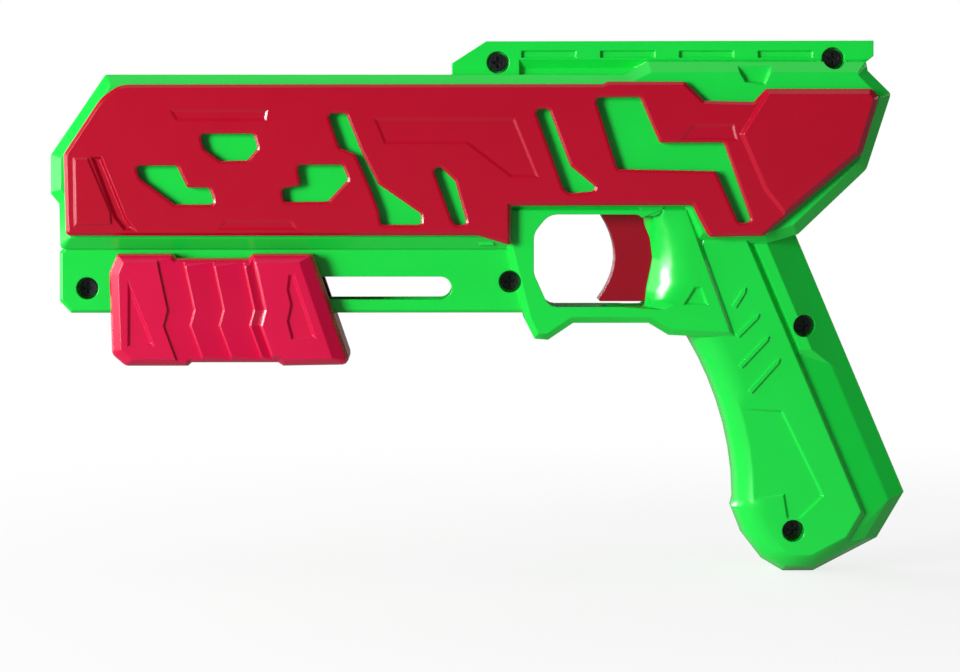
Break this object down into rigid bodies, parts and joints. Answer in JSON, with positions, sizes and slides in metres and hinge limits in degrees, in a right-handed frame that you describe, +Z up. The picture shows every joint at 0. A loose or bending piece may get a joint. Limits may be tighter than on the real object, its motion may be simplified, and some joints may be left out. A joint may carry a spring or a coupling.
{
  "type": "spinning top launcher",
  "caption": "Pistol-shaped pump launcher that spins a top held by its stem at the nose and lets it go with the trigger.",
  "frame": {"origin": "mouth of the stem socket at the nose, on the launch axis", "axes": "+X from the nose to the rear along the launch axis, +Z up towards the top rail, Y across; the pictured side faces -Y"},
  "size_m": [0.2392, 0.0362, 0.1491],
  "materials": {
    "green_shell": "glossy moulded ABS, bright green",
    "red_cover": "glossy moulded ABS, crimson",
    "red_forend": "glossy moulded ABS, pink red",
    "dark_plastic": "moulded acetal, dark grey",
    "white_plastic": "moulded acetal, off-white",
    "screw_steel": "zinc plated steel",
    "bright_steel": "drawn steel wire and pin",
    "spring_steel": "spring wire",
    "bush_brass": "turned brass"
  },
  "bodies": {
    "body": {"left_shell": "green_shell", "right_shell": "green_shell", "left_cover": "red_cover", "right_cover": "red_cover", "shell_screws": "screw_steel", "spring_guide": "bright_steel", "forend_spring": "spring_steel", "gear_axle": "bright_steel", "spindle_bush": "bush_brass", "trigger_pin": "bright_steel", "ejector_spring": "spring_steel"},
    "pump": {"forend_left": "red_forend", "forend_right": "red_forend", "forend_fixings": "screw_steel", "rack_carriage": "dark_plastic"},
    "gear": {"compound_gear": "white_plastic"},
    "drive_spindle": {"spindle": "dark_plastic", "ratchet_pinion": "white_plastic", "clutch_spring": "spring_steel", "retaining_clip": "screw_steel"},
    "trigger_lever": {"trigger": "red_forend"},
    "ejector": {"ejector_rod": "bright_steel"}
  },
  "joints": [
    {"name": "forend_slide", "type": "slide", "parent": "body", "child": "pump", "axis": [1, 0, 0], "range_m": [0, 0.034], "stiffness_N_per_m": 60, "springref_m": -0.05, "deforming": ["forend_spring"]},
    {"name": "gear_spin", "type": "hinge", "parent": "body", "child": "gear", "pos_m": [0.0581, 0, 0], "axis": [0, 1, 0], "continuous": true},
    {"name": "spindle_spin", "type": "hinge", "parent": "body", "child": "drive_spindle", "pos_m": [0, 0, 0], "axis": [1, 0, 0], "continuous": true},
    {"name": "trigger_pull", "type": "hinge", "parent": "body", "child": "trigger_lever", "pos_m": [0.1662, 0, -0.00789], "axis": [0, -1, 0], "range_deg": [0, 15], "stiffness_Nm_per_rad": 0.15, "springref_deg": -17.19, "deforming": ["ejector_spring"]},
    {"name": "ejector_slide", "type": "slide", "parent": "body", "child": "ejector", "axis": [-1, 0, 0], "range_m": [0, 0.0021]}
  ],
  "couplings": [
    {"joint": "gear_spin", "follows": "forend_slide", "rad_per_m": -166.67},
    {"joint": "spindle_spin", "follows": "forend_slide", "rad_per_m": -416.67},
    {"joint": "ejector_slide", "follows": "trigger_pull", "m_per_rad": 0.00789}
  ]
}
